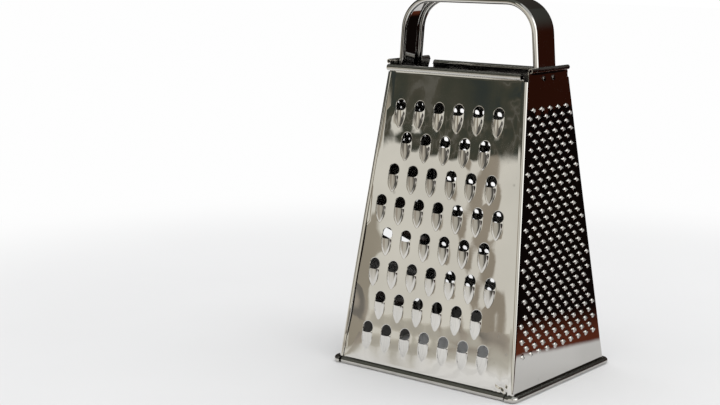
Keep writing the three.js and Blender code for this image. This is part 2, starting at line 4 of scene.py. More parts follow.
import math
import random
from dataclasses import dataclass

import bpy
import numpy as np
from mathutils import Matrix, Vector
from mathutils.geometry import delaunay_2d_cdt
from mathutils.kdtree import KDTree


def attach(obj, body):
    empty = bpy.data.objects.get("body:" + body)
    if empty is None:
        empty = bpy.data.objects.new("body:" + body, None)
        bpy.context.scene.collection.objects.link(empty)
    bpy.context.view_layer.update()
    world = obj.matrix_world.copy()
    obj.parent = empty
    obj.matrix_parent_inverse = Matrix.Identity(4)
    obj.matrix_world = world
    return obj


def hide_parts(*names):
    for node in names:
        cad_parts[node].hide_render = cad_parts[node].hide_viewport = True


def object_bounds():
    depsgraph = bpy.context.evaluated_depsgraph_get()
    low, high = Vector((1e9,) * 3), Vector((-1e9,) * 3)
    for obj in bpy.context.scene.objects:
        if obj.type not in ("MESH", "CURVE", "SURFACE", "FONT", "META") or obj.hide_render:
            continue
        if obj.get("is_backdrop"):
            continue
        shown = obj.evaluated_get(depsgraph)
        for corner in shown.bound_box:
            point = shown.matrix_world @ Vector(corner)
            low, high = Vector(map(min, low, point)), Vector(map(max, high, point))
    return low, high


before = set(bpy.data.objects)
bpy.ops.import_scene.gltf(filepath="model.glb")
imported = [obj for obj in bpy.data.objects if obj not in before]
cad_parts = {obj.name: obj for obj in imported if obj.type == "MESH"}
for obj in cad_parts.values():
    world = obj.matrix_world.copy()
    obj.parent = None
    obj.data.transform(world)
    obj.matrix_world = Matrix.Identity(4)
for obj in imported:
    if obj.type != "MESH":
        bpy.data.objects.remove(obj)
CAD_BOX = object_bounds()
MM = 0.001
SHARP_ANGLE = 40.0

# Body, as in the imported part: outer faces of the panels, at the worktop and at the front rim's height.
BASE_WIDTH = 110.0
BASE_DEPTH = 87.0
TOP_WIDTH = 85.0
TOP_DEPTH = 37.0
BODY_HEIGHT = 156.0
SIDE_RISE = 2.4
SHEET = 0.5
FIT = 0.2
FRONT_LEAN = math.atan((BASE_DEPTH - TOP_DEPTH) / 2 / BODY_HEIGHT)
SIDE_LEAN = math.atan((BASE_WIDTH - TOP_WIDTH) / 2 / BODY_HEIGHT)

# Rolled rims.
BASE_RIM = 1.6
FRONT_TOP_RIM = 1.65
SIDE_TOP_RIM = 1.2
RIM_CLEARANCE = 0.25
RIM_END = 2.0
RIM_STEPS = 30
RIM_STATION = 5.0
RIM_WOBBLE = 0.05
RIM_SWELL = 30.0
RELIEF = 0.5
FLAT_RIM = 0.35

# Corner seams.
WRAP = 3.2
WRAP_BEND = 1.2
SOFT_WRAP_BEND = 2.8
TUCK = 2.2
TUCK_BEND = 0.9
SOFT_TUCK_BEND = 2.1
LEAST_TUCK = 0.4
BEND_STEPS = 8
SEAM_STATIONS = 30
SEAM_WOBBLE = 0.03
SEAM_SWELL = 40.0
SEAM_FADE = 8.0
THIN_FROM = 0.9
SEAM_TOP = BODY_HEIGHT - 4.0
TUCK_BASE = 8.0
TUCK_TOP = BODY_HEIGHT - 8.0

# Punched teeth: the rounded edge of a hole, the flat ring round a tooth, and a scoop's back, flanks and lip.
EDGE_ROLL = 0.3
EDGE_DROP = 0.07
GUARD = 0.4
LIP_SHARE = 0.6
TIP_SHARE = 0.12
TIP_POINT = 0.8
CREST_DROP = 0.36
CREST_TAPER = 1.5
FLANK_FOOT = 0.46
FLANK_FOOT_RISE = 0.28
FLANK_ROUND = 1.3
LEAST_FLANK = 0.2
LIP_FROM = 0.3
LIP_RISE = 0.9
TOP_ROLL = 0.5
ROW_CROWDING = 1.6
ARC_STEPS = 200
STRAIGHT_STEPS = 40
TAPER_STEPS = 80

# Flat sheet between the teeth.
GRID = 3.2
GRID_CLEAR = 1.5
FINE_GRID = 0.8
FINE_CLEAR = 0.5
MERGE = 1e-5

# Handle strap.
STRAP_WIDTH = 18.0
STRAP_SHEET = 0.8
STRAP_ROLL = 1.5
STRAP_ROLL_TURN = 275.0
STRAP_ROLL_STEPS = 26
STRAP_WEB_STEPS = 8
HANDLE_TOP = BODY_HEIGHT + 35.0
HANDLE_BEND = 18.0
HANDLE_TWIST = 2.2
TWIST_FROM = 20.0
TWIST_LENGTH = 60.0
HANDLE_BAR_STEPS = 10
HANDLE_BEND_STEPS = 20
HANDLE_LEG_STEPS = 8
STRAP_END = BODY_HEIGHT - 14.0

# Rivets.
RIVET_SHANK = 0.8
RIVET_HEAD = 1.3
RIVET_HEAD_HEIGHT = 0.4
RIVET_HEAD_EDGE = 0.12
RIVET_GAP = 0.4
RIVET_HEIGHT = BODY_HEIGHT - 3.2
RIVET_OFFSET = STRAP_WIDTH / 2 - 2 * STRAP_ROLL - RIVET_HEAD - RIVET_GAP
RIVET_SIDES = 32
RIVET_DOME_STEPS = 7
RIVET_GRIP = SHEET + STRAP_SHEET + 2 * FIT


def smooth(x):
    """Rises from 0 to 1 with level ends."""
    x = np.clip(x, 0.0, 1.0)
    return x * x * (3.0 - 2.0 * x)


def width_at(z):
    return BASE_WIDTH + (TOP_WIDTH - BASE_WIDTH) * z / BODY_HEIGHT


def depth_at(z):
    return BASE_DEPTH + (TOP_DEPTH - BASE_DEPTH) * z / BODY_HEIGHT


def even(first, last, step):
    """Even stations from first to last, about step apart."""
    return np.linspace(first, last, max(2, round(abs(last - first) / step) + 1))


def resample(line, count):
    """count + 1 points at even steps along a line."""
    steps = np.hypot(*np.diff(line, axis=0).T)
    along = np.concatenate([[0.0], np.cumsum(steps)])
    at = np.linspace(0.0, along[-1], count + 1)
    return np.stack([np.interp(at, along, line[:, k]) for k in (0, 1)], axis=1)


def superellipse(angles, across, up, power=2.0):
    """Points of a rounded box of two half sizes. A larger power makes its corners squarer."""
    c, s = np.cos(angles), np.sin(angles)
    u = across * np.sign(c) * np.abs(c) ** (2 / power)
    v = up * np.sign(s) * np.abs(s) ** (2 / power)
    return np.stack([u, v], axis=1)


class Swell:
    """A smooth, seeded unevenness of about 1 in height along a plane."""

    def __init__(self, seed, length, count=7):
        draw = random.Random(seed)
        self.terms = []
        for _ in range(count):
            turn = draw.uniform(0.0, math.pi)
            pace = 2 * math.pi / (length * draw.uniform(0.7, 1.6))
            self.terms.append((pace * math.cos(turn), pace * math.sin(turn), draw.uniform(0.0, 2 * math.pi)))

    def __call__(self, u, v):
        total = sum(np.sin(a * u + b * v + phase) for a, b, phase in self.terms)
        return total / math.sqrt(len(self.terms))


class Sheet:
    """The outer side of a bent sheet. Its inner side is set off along the normals."""

    def __init__(self):
        self.places = []
        self.shares = []
        self.faces = []
        self.lined = 0

    def points(self, places, share=1.0):
        first = len(self.places)
        self.places.extend(places)
        self.shares.extend(np.broadcast_to(share, len(places)))
        return list(range(first, len(self.places)))

    def extend(self, edge, places, hand, share=1.0):
        """Joins an edge to a new row on its left, or on its right for hand -1, and returns the new row."""
        row = self.points(places, share)
        near, far = (edge, row) if hand > 0 else (edge[::-1], row[::-1])
        for i in range(len(near) - 1):
            self.faces.append((near[i + 1], near[i], far[i], far[i + 1]))
        return row

    def band(self, inner, outer):
        """Joins two closed rings that run counter-clockwise."""
        for i in range(len(inner)):
            j = (i + 1) % len(inner)
            self.faces.append((inner[i], outer[i], outer[j], inner[j]))

    def normals(self, places):
        total = np.zeros_like(places)
        for size in (3, 4):
            faces = np.array([f for f in self.faces if len(f) == size])
            if not len(faces):
                continue
            corners = places[faces]
            for k in range(size):
                to_next = corners[:, (k + 1) % size] - corners[:, k]
                to_last = corners[:, k - 1] - corners[:, k]
                cross = np.cross(to_next, to_last)
                length = np.linalg.norm(cross, axis=1)
                angle = np.arctan2(length, np.sum(to_next * to_last, axis=1))
                np.add.at(total, faces[:, k], cross * (angle / np.maximum(length, 1e-9))[:, None])
        return total / np.linalg.norm(total, axis=1)[:, None]

    def build(self, name, thickness, turn=0.0):
        outer = np.array(self.places, float)
        inner = outer - self.normals(outer) * (thickness * np.array(self.shares))[:, None]
        count = len(outer)
        edges = set()
        for face in self.faces:
            for a, b in zip(face, face[1:] + face[:1]):
                if (b, a) in edges:
                    edges.remove((b, a))
                else:
                    edges.add((a, b))
        faces = list(self.faces)
        faces += [tuple(count + k for k in reversed(face)) for face in self.faces]
        faces += [(b, a, count + a, count + b) for a, b in sorted(edges)]
        made = build_object(name, np.concatenate([outer, inner]), faces, turn)
        sides = np.zeros(len(faces), np.int32)
        sides[len(self.faces) :] = 2
        sides[len(self.faces) : len(self.faces) + self.lined] = 1
        made.data.polygons.foreach_set("material_index", sides)
        return made


def add_object(name, data):
    made = bpy.data.objects.new(name, data)
    bpy.context.scene.collection.objects.link(made)
    return made


def build_object(name, places, faces, turn=0.0):
    """A shaded mesh object from places in millimetres, turned about the upright axis."""
    c, s = math.cos(turn), math.sin(turn)
    turned = np.array(places, float) @ np.array([[c, s, 0], [-s, c, 0], [0, 0, 1]]) * MM
    mesh = bpy.data.meshes.new(name)
    mesh.from_pydata(turned.tolist(), [], faces)
    mesh.validate()
    mesh.shade_smooth()
    mesh.set_sharp_from_angle(angle=math.radians(SHARP_ANGLE))
    return add_object(name, mesh)


@dataclass
class Face:
    """One flat, leaning face, as if it faced -Y: u runs across, v up the slope, w out of the face."""

    reach: float
    lean: float
    flat_edge: callable

    def on(self, u, v, w):
        out = self.reach - v * math.sin(self.lean) + w * math.cos(self.lean)
        return np.stack([u, -out, v * math.cos(self.lean) + w * math.sin(self.lean)], axis=-1)

    def slope(self, z):
        return z / math.cos(self.lean)

    def height(self, v):
        return v * math.cos(self.lean)

    def out_at(self, z):
        return self.reach - z * math.tan(self.lean)


@dataclass
class Draw:
    """How a tooth draws up the sheet round it: a low skirt that falls away from a tapering core."""

    height: float
    reach: float
    radius: float
    tail: float
    tail_radius: float

    # Where the skirt rises and ends, down the face.
    RISE = 12.0
    FULL_BELOW = 9.5
    END_BELOW = 8.0
    END_FADE = 8.0

    def __call__(self, du, dv):
        down = np.clip(-dv, 0.0, self.tail)
        core = self.radius + (self.tail_radius - self.radius) * (down / self.tail) ** 2
        out = np.maximum(np.hypot(du, dv + down) - core, 0.0)
        rise = 1.0 - smooth((dv + self.FULL_BELOW) / self.RISE)
        along = rise * (1.0 - smooth((-dv - self.END_BELOW) / self.END_FADE))
        return self.height * np.exp(-out / self.reach) * along


@dataclass
class Waviness:
    """How far a pressed sheet is off its flat: swells, skirts round teeth, crowned sides, a sag, a crumple.
    The left crown is made of lenses, each with a height, a length and a share. The crumple has a place across
    and up the slope, a radius and a depth."""

    face: Face
    seed: int
    swell: float
    swell_length: float = 60.0
    teeth: list = ()
    draw: Draw = None
    crown: tuple = (0.0, 0.0)
    dip: float = 0.0
    crumple: tuple = None

    FADE = 9.0
    END_FADE = 18.0
    CROWN = 16.0
    LENSES = ((63.0, 19.0, 1.0), (27.0, 15.0, 1.3))
    DIP_AT = 40.0
    DIP_FADE = 100.0
    CRUMPLE_REACH = 1.7
    CREASE_LENGTH = 3.6
    CREASE_SEED = 100

    def __post_init__(self):
        self.noise = Swell(self.seed, self.swell_length)
        self.teeth = np.array(self.teeth, float).reshape(-1, 2)
        self.creases = Swell(self.seed + self.CREASE_SEED, self.CREASE_LENGTH)

    def __call__(self, u, v):
        edge = self.face.flat_edge(self.face.height(v)) - np.abs(u)
        top = self.face.slope(BODY_HEIGHT) - v
        ends = smooth(v / self.FADE) * smooth(top / self.END_FADE)
        fade = smooth(edge / self.FADE) * ends
        off = self.swell * self.noise(u, v)
        if self.draw:
            off = off + self.draw(u[:, None] - self.teeth[:, 0], v[:, None] - self.teeth[:, 1]).sum(axis=1)
        left, right = self.crown
        share = np.clip(1.0 - edge / self.CROWN, 0.0, 1.0)
        lenses = sum(part * np.exp(-(((v - at) / length) ** 2)) for at, length, part in self.LENSES)
        side = np.where(u < 0.0, left * lenses, right)
        below = 1.0 - (1.0 - v / self.DIP_AT) ** 2
        sag = np.where(v < self.DIP_AT, below, 1.0 - smooth((v - self.DIP_AT) / self.DIP_FADE))
        off = off * fade + side * ends * share * share - self.dip * sag * (v > 0.0)
        if self.crumple:
            at_u, at_v, radius, depth = self.crumple
            near = np.exp(-(((u - at_u) ** 2 + (v - at_v) ** 2) / radius**2))
            off = off + depth * near * self.creases(u, v)
        return off

    def creased(self, u, v):
        """Whether a place is in the crumple, which needs a finer grid."""
        if not self.crumple:
            return False
        at_u, at_v, radius, _ = self.crumple
        return math.hypot(u - at_u, v - at_v) < self.CRUMPLE_REACH * radius


class Panel:
    """A panel under construction: sheet, waviness, the outline of its flat and the loops of its teeth."""

    def __init__(self, face, waviness):
        self.face = face
        self.waviness = waviness
        self.sheet = Sheet()
        self.outline = []
        self.loops = []

    def points(self, ring, lift=0.0, share=1.0):
        u, v = ring[:, 0], ring[:, 1]
        return self.sheet.points(self.face.on(u, v, lift + self.waviness(u, v)), share)

    def tooth(self, place, hole, foot, lift, rows, lip_shares=1.0, guard=GUARD, slant=0.0):
        """A punched tooth between its hole's edge and its foot, two rings of as many points."""
        slanted = np.array([[1.0, slant], [0.0, 1.0]])
        inner = None
        for row in rows:
            ring = hole + (foot - hole) * row
            share = lip_shares if inner is None else 1.0
            outer = self.points(place + ring @ slanted, lift(ring[:, 0], ring[:, 1]), share)
            if inner:
                self.sheet.band(inner, outer)
            inner = outer
        along = np.roll(foot, -1, axis=0) - np.roll(foot, 1, axis=0)
        away = np.stack([along[:, 1], -along[:, 0]], axis=1)
        ring = place + (foot + guard * away / np.linalg.norm(away, axis=1)[:, None]) @ slanted
        outer = self.points(ring)
        self.sheet.band(inner, outer)
        self.loops.append((ring, outer))

    def edge(self, stretch):
        """Adds a stretch of [u, z] points to the outline, and returns where it is in there."""
        first = len(self.outline)
        self.outline += [(u, self.face.slope(z)) for u, z in stretch]
        return slice(first, len(self.outline))

    def fill(self):
        """The flat itself, inside the outline and around the loops."""
        outline = np.array(self.outline)
        corners = self.points(outline)
        loops = [(outline, corners), *self.loops]
        places = np.concatenate([points for points, _ in loops])
        indices = [k for _, numbers in loops for k in numbers]
        owners = [k for k, (points, _) in enumerate(loops) for _ in points]
        edges = []
        first = 0
        for points, _ in loops:
            count = len(points)
            edges += [(first + i, first + (i + 1) % count) for i in range(count)]
            first += count
        grid = self.grid([points for points, _ in loops])
        indices += self.points(grid)
        owners += [-1] * len(grid)
        places = np.concatenate([places, grid])
        result = delaunay_2d_cdt([Vector(p) for p in places], edges, [], 0, MERGE)
        known = [origin[0] for origin in result[3]]
        for face in result[2]:
            corner = [known[k] for k in face]
            owner = {owners[k] for k in corner}
            middle = places[corner].mean(axis=0)
            if owner == {0} and not inside(middle, outline):
                continue
            if len(owner) == 1 and min(owner) > 0 and inside(middle, loops[min(owner)][0]):
                continue
            self.sheet.faces.append(tuple(indices[k] for k in corner))
        return corners

    def grid(self, loops):
        """Points of an even grid that are on the flat and clear of its edges."""
        outline = loops[0]
        edge_points = np.concatenate([denser(loop) for loop in loops])
        tree = KDTree(len(edge_points))
        for k, (u, v) in enumerate(edge_points):
            tree.insert((u, v, 0.0), k)
        tree.balance()
        low, high = outline.min(axis=0), outline.max(axis=0)
        boxes = [(loop.min(axis=0), loop.max(axis=0), loop) for loop in loops[1:]]
        found = []
        for step, clear, fine in ((GRID, GRID_CLEAR, False), (FINE_GRID, FINE_CLEAR, True)):
            for v in even(low[1], high[1], step):
                for u in even(low[0], high[0], step):
                    if self.waviness.creased(u, v) != fine or tree.find((u, v, 0.0))[2] < clear:
                        continue
                    place = np.array([u, v])
                    near = [loop for a, b, loop in boxes if (a < place).all() and (place < b).all()]
                    if inside(place, outline) and not any(inside(place, loop) for loop in near):
                        found.append(place)
        return np.array(found).reshape(-1, 2)


def denser(loop, step=1.0):
    """A closed loop with points about step apart."""
    closed = np.concatenate([loop, loop[:1]])
    length = np.hypot(*np.diff(closed, axis=0).T).sum()
    return resample(closed, max(4, int(length / step)))


def inside(place, loop):
    """Whether a place is inside a closed loop."""
    u, v = loop[:, 0], loop[:, 1]
    next_u, next_v = np.roll(u, -1), np.roll(v, -1)
    crosses = (v > place[1]) != (next_v > place[1])
    safe = np.where(next_v == v, 1.0, next_v - v)
    at = u + (place[1] - v) / safe * (next_u - u)
    return bool(np.count_nonzero(crosses & (place[0] < at)) % 2)


@dataclass
class Scoop:
    """A shredding tooth: a hole with its lower part pressed out to a straight lip, over a tapering back."""

    radius: float
    lip: float
    bulge: float
    bulge_at: float
    length: float
    lift: float
    crest: float
    upper: int
    lower: int
    rows: int
    squareness: float = 3.6
    roll: float = EDGE_ROLL
    guard: float = GUARD

    def half_width(self, v):
        down = np.clip(-v, 0.0, self.length)
        start = self.radius + self.roll
        swell = start + (self.bulge - start) * smooth(down / self.bulge_at)
        share = np.clip((down - self.bulge_at) / (self.length - self.bulge_at), 0.0, 1.0)
        return swell * (1.0 - share * share) ** TIP_POINT

    def rings(self):
        over = np.linspace(0.0, math.pi, self.upper + 1)
        under = np.linspace(math.pi, 2 * math.pi, ARC_STEPS)
        hole_top = superellipse(over, self.radius, self.radius)
        hole_low = resample(superellipse(under, self.radius, self.lip, self.squareness), self.lower)
        foot_top = superellipse(over, self.radius + self.roll, self.radius + self.roll)
        straight = np.linspace(0.0, self.bulge_at, STRAIGHT_STEPS)[:-1]
        bends = np.sin(np.linspace(0.0, math.pi / 2, TAPER_STEPS))
        taper = self.bulge_at + (self.length - self.bulge_at) * bends
        down = np.concatenate([straight, taper])
        left = np.stack([-self.half_width(-down), -down], axis=1)
        right = left[::-1][1:] * np.array([-1.0, 1.0])
        foot_low = resample(np.concatenate([left, right]), self.lower)
        hole = np.concatenate([hole_top, hole_low[1:-1]])
        foot = np.concatenate([foot_top, foot_low[1:-1]])
        return hole, foot

    def lift_at(self, u, v):
        down = np.clip((-v - self.lip) / (self.length - self.lip), 0.0, 1.0)
        ramp = 1.0 - (1.0 - TIP_SHARE) * down
        half = self.half_width(v)
        crest = self.crest * (1.0 - down**CREST_TAPER)
        up = np.clip((half - np.abs(u)) / np.maximum(half - crest, LEAST_FLANK), 0.0, 1.0)
        steep = FLANK_FOOT_RISE + (1.0 - FLANK_FOOT_RISE) * (up - FLANK_FOOT) / (1.0 - FLANK_FOOT)
        climb = np.where(up < FLANK_FOOT, FLANK_FOOT_RISE * (up / FLANK_FOOT) ** 2, steep)
        flank = 1.0 - (1.0 - climb) ** FLANK_ROUND
        round_back = CREST_DROP * (u / self.radius) ** 2
        rise = smooth(-v / (LIP_RISE * self.lip))
        roll = smooth(1.0 - (np.hypot(u, v) - self.radius) / self.roll)
        roll = roll * smooth(1.0 + v / (TOP_ROLL * self.radius))
        drop = EDGE_DROP * self.roll / EDGE_ROLL * roll
        return self.lift * (1.0 - round_back) * flank * ramp * rise - drop

    def add(self, panel, places):
        hole, foot = self.rings()
        rows = 1.0 - (1.0 - np.linspace(0.0, 1.0, self.rows + 1)) ** ROW_CROWDING
        shares = np.where(hole[:, 1] < -LIP_FROM * self.radius, LIP_SHARE, 1.0)
        for place in places:
            panel.tooth(np.array(place), hole, foot, self.lift_at, rows, shares, self.guard)


@dataclass
class Slot:
    """A slicing opening over a wide ramp that ends in a straight blade."""

    half: float
    opening: float
    ramp: float
    lift: float
    cheek: float
    slant: float
    power: float = 6.0
    bow: float = 0.3

    TOP_STEPS = 44
    LOW_STEPS = 60
    ROWS = 13
    TOP_RISE = 0.3

    def rings(self):
        reach = self.half - self.cheek / 2
        over = np.linspace(0.0, math.pi, 2 * ARC_STEPS)
        under = np.linspace(math.pi, 2 * math.pi, 2 * ARC_STEPS)
        hole_top = resample(superellipse(over, reach, self.opening, self.power), self.TOP_STEPS)
        hole_low = resample(superellipse(under, reach, self.bow, self.power), self.LOW_STEPS)
        foot_top = superellipse(over, reach + EDGE_ROLL, self.opening + EDGE_ROLL, self.power)
        foot_top = resample(foot_top, self.TOP_STEPS)
        foot_low = superellipse(under, self.half, self.ramp, self.power)
        foot_low = np.concatenate([foot_top[-1:], foot_low[1:-1], foot_top[:1]])
        foot_low = resample(foot_low, self.LOW_STEPS)
        return np.concatenate([hole_top, hole_low[1:-1]]), np.concatenate([foot_top, foot_low[1:-1]])

    def lift_at(self, u, v):
        share = np.clip(-v / self.ramp, 0.0, 1.0)
        half = self.half * (1.0 - share**self.power) ** (1 / self.power)
        flank = smooth((half - np.abs(u)) / self.cheek)
        rise = smooth(1.0 - v / (self.TOP_RISE * self.opening))
        return self.lift * flank * (1.0 - (1.0 - TIP_SHARE) * share) * rise

    def add(self, panel, place):
        hole, foot = self.rings()
        shares = np.where(hole[:, 1] < 0.0, LIP_SHARE, 1.0)
        rows = np.linspace(0.0, 1.0, self.ROWS)
        panel.tooth(np.array(place), hole, foot, self.lift_at, rows, shares, slant=self.slant)


@dataclass
class Spike:
    """A crater burst open by a square punch, with a torn, four-pointed rim."""

    radius: float
    rim: float
    lift: float
    tear: float
    sides: int
    rows: int
    sharpness: float = 1.5

    SQUARENESS = 1.7
    TURN = 0.25
    SIZES = (0.92, 1.08)
    TEARS = (0.5, 1.5)
    TILT = 0.1
    EDGE_SHARE = 0.45
    GUARD = 0.2

    def add(self, panel, places, seed):
        draw = random.Random(seed)
        angles = np.arange(self.sides) * 2 * math.pi / self.sides
        foot = superellipse(angles, self.radius, self.radius, self.SQUARENESS)
        for place in places:
            turn = draw.uniform(-self.TURN, self.TURN)
            size = draw.uniform(*self.SIZES)
            tears = np.array([draw.uniform(*self.TEARS) for _ in range(4)])
            tilt = draw.uniform(0.0, 2 * math.pi)

            def lift_at(u, v):
                angle = np.arctan2(v, u) - turn
                share = np.maximum((self.radius - np.hypot(u, v)) / (self.radius - self.rim), 0.0)
                petal = np.cos(4 * angle) * tears[np.round(angle / (math.pi / 2)).astype(int) % 4]
                edge = self.tear * petal + self.TILT * np.cos(angle - tilt)
                return size * (self.lift * share**self.sharpness + edge * share**4)

            hole = np.stack([np.cos(angles), np.sin(angles)], axis=1) * self.rim
            rows = np.linspace(0.0, 1.0, self.rows + 1)
            panel.tooth(np.array(place), hole, foot, lift_at, rows, self.EDGE_SHARE, self.GUARD)


def staggered(face, pitch, row_pitch, top_margin, base_margin, beside, shift=0.0, odd=True):
    """Places of teeth in rows up a face, staggered by half a pitch, each row as wide as the face allows."""
    places = []
    v = face.slope(BODY_HEIGHT) - top_margin
    while v >= base_margin:
        room = (face.flat_edge(face.height(v)) - beside) / pitch
        reach = math.floor(room) if odd else math.floor(room + 0.5) - 0.5
        places += [(i * pitch + shift, v) for i in np.arange(-reach, reach + 0.5)]
        odd = not odd
        v -= row_pitch
    return places


def add_curl(panel, edge, stations, radius, centre, turn, seed):
    """Rolls a free edge outwards until it is clear of the sheet again: downwards for a base rim (turn 1),
    upwards for a top rim (-1). Each station is a place across and out on the face, and the way out of it."""
    bore = radius - SHEET
    stations = np.array(stations, float)
    across, out, to_across, to_out = stations.T
    wobble = Swell(seed, RIM_SWELL)(across, out) * RIM_WOBBLE
    closed = math.acos((radius - SHEET - RIM_CLEARANCE) / radius)
    for angle in np.linspace(math.pi, 3 * math.pi - closed, RIM_STEPS + 1)[1:]:
        grow = 1.0 - math.cos(angle - math.pi)
        push = bore + bore * math.cos(angle) + wobble * grow / 2
        height = np.full(len(stations), centre + turn * bore * math.sin(angle))
        places = np.stack([across + to_across * push, -(out + to_out * push), height], axis=1)
        edge = panel.sheet.extend(edge, places, turn)


def add_top_rim(panel, edge, across, radius, height, seed):
    """Rolls a panel's straight top edge outwards."""
    stations = [(u, panel.face.out_at(height), 0.0, 1.0) for u in across[::-1]]
    add_curl(panel, edge[::-1], stations, radius, height, -1, seed)


def bend_turns(past):
    """Steps round a square bend of the sheet, then straight on: the turn, and how far past the bend."""
    turns = [((k + 1) / BEND_STEPS * math.pi / 2, 0.0) for k in range(BEND_STEPS)]
    return turns + [(math.pi / 2, past * k / 3) for k in (1, 2, 3)]


def half_room(z):
    """Half the room between the side panels."""
    return width_at(z) / 2 - (SHEET + FIT) / math.cos(SIDE_LEAN)


def tucked_face():
    return Face(BASE_DEPTH / 2, FRONT_LEAN, lambda z: half_room(z) - TUCK_BEND)


def wrapped_face(corner):
    outset = (SHEET + FIT) / math.cos(FRONT_LEAN)
    return Face(BASE_WIDTH / 2, SIDE_LEAN, lambda z: depth_at(z) / 2 + outset - corner)


def finish_tucked(panel, shift, seed, soft):
    """Outline, tucked edges and rims of a front or back panel. The soft hand's corner is rounder."""
    face = panel.face
    low = BASE_RIM
    high = BODY_HEIGHT - FRONT_TOP_RIM
    base_rim = width_at(low) / 2 - WRAP - 2 * RELIEF
    top_rim = width_at(high) / 2 - RIM_END
    bend = face.flat_edge
    seam = np.linspace(TUCK_BASE + RELIEF, TUCK_TOP, SEAM_STATIONS)
    below = [
        (base_rim + RELIEF, low + RELIEF),
        (bend(low + RELIEF) - RELIEF, low + RELIEF),
        (bend(TUCK_BASE) - RELIEF, TUCK_BASE),
    ]
    above = [
        (bend(TUCK_TOP + RELIEF) - RELIEF, TUCK_TOP + RELIEF),
        (bend(high - RELIEF) - RELIEF, high - RELIEF),
    ]
    extra = {hand: SOFT_TUCK_BEND - TUCK_BEND if hand == soft else 0.0 for hand in (1, -1)}
    panel.edge(below)
    right = panel.edge([(bend(z) - extra[1], z) for z in seam])
    panel.edge(above)
    panel.edge([(top_rim + shift / 2 + RELIEF, high - RELIEF)])
    top_stations = even(top_rim + shift / 2, -top_rim + shift / 2, RIM_STATION)
    top = panel.edge([(u, high) for u in top_stations])
    panel.edge([(-top_rim + shift / 2 - RELIEF, high - RELIEF)])
    panel.edge([(-u, z) for u, z in reversed(above)])
    left = panel.edge([(extra[-1] - bend(z), z) for z in reversed(seam)])
    panel.edge([(-u, z) for u, z in reversed(below)])
    base_stations = even(-base_rim, base_rim, RIM_STATION)
    base = panel.edge([(u, low) for u in base_stations])
    corners = panel.fill()

    for hand, edge in ((1, corners[right]), (-1, corners[left][::-1])):
        corner = TUCK_BEND + extra[hand]
        for turn, straight in bend_turns(max(TUCK - corner, LEAST_TUCK)):
            across = bend(seam) - extra[hand] + corner * math.sin(turn)
            out = face.out_at(seam) - corner + corner * math.cos(turn) - straight
            edge = panel.sheet.extend(edge, np.stack([hand * across, -out, seam], axis=1), hand)

    panel.sheet.lined = len(panel.sheet.faces)
    stations = [(u, face.out_at(low), 0.0, 1.0) for u in base_stations]
    add_curl(panel, corners[base], stations, BASE_RIM, low, 1, seed)
    add_top_rim(panel, corners[top], top_stations, FRONT_TOP_RIM, high, seed + 1)


def finish_wrapped(panel, seed, corner, press, thin, settle=0.0):
    """Outline, folded edges and rims of a side panel. The base rim goes round the corners with the folds.
    The folds can be pressed down at their ends, and settled until they are flush with the next panel."""
    face = panel.face
    for y in (-RIVET_OFFSET, RIVET_OFFSET):
        angles = np.arange(RIVET_SIDES) * 2 * math.pi / RIVET_SIDES
        ring = (RIVET_SHANK + FIT) * np.stack([np.cos(angles), np.sin(angles)], axis=1)
        ring = ring + np.array([y, face.slope(RIVET_HEIGHT)])
        panel.loops.append((ring, panel.points(ring)))
    low = BASE_RIM
    high = BODY_HEIGHT + SIDE_RISE - SIDE_TOP_RIM
    top_rim = depth_at(high) / 2 - RIM_END / 2
    bend = face.flat_edge
    seam = np.linspace(low, SEAM_TOP, SEAM_STATIONS)
    above = [(bend(SEAM_TOP + RELIEF) - RELIEF, SEAM_TOP + RELIEF), (top_rim + RELIEF, high - RELIEF)]
    right = panel.edge([(bend(z) - FLAT_RIM, z) for z in seam])
    panel.edge(above)
    top_stations = even(top_rim, -top_rim, RIM_STATION)
    top = panel.edge([(u, high) for u in top_stations])
    panel.edge([(-u, z) for u, z in reversed(above)])
    left = panel.edge([(FLAT_RIM - bend(z), z) for z in reversed(seam)])
    base_stations = even(FLAT_RIM - bend(low), bend(low) - FLAT_RIM, RIM_STATION)
    base = panel.edge([(u, low) for u in base_stations[1:-1]])
    corners = panel.fill()

    def fold(hand, edge):
        wobble = SEAM_WOBBLE * Swell(seed + hand, SEAM_SWELL)(seam, hand * seam)
        up = smooth((seam - low) / SEAM_FADE)
        rim = []
        for turn, straight in [(0.0, 0.0), *bend_turns(WRAP - corner)]:
            sin, cos = math.sin(turn), math.cos(turn)
            pressed = press * straight / (WRAP - corner) + settle * (turn / (math.pi / 2)) ** 2
            push = corner + (wobble * sin - pressed) * up
            across = hand * (bend(seam) + push * sin)
            out = face.out_at(seam) - corner + push * cos - straight
            thinned = thin * (straight > THIN_FROM * (WRAP - corner))
            share = 1.0 - up * max(thinned, settle * turn / (math.pi / 2))
            edge = panel.sheet.extend(edge, np.stack([across, -out, seam], axis=1), hand, share)
            rim.append((edge[0], (across[0], out[0], hand * sin, cos)))
        return rim

    right_rim = fold(1, corners[right])
    left_rim = fold(-1, corners[left][::-1])
    flat = [corners[left][-1], *corners[base], corners[right][0]]
    flat_rim = [(k, (u, face.out_at(low), 0.0, 1.0)) for k, u in zip(flat, base_stations)]
    rim = [*left_rim[::-1], *flat_rim, *right_rim]
    panel.sheet.lined = len(panel.sheet.faces)
    add_curl(panel, [k for k, _ in rim], [s for _, s in rim], BASE_RIM, low, 1, seed + 5)
    add_top_rim(panel, corners[top], top_stations, SIDE_TOP_RIM, high, seed + 6)


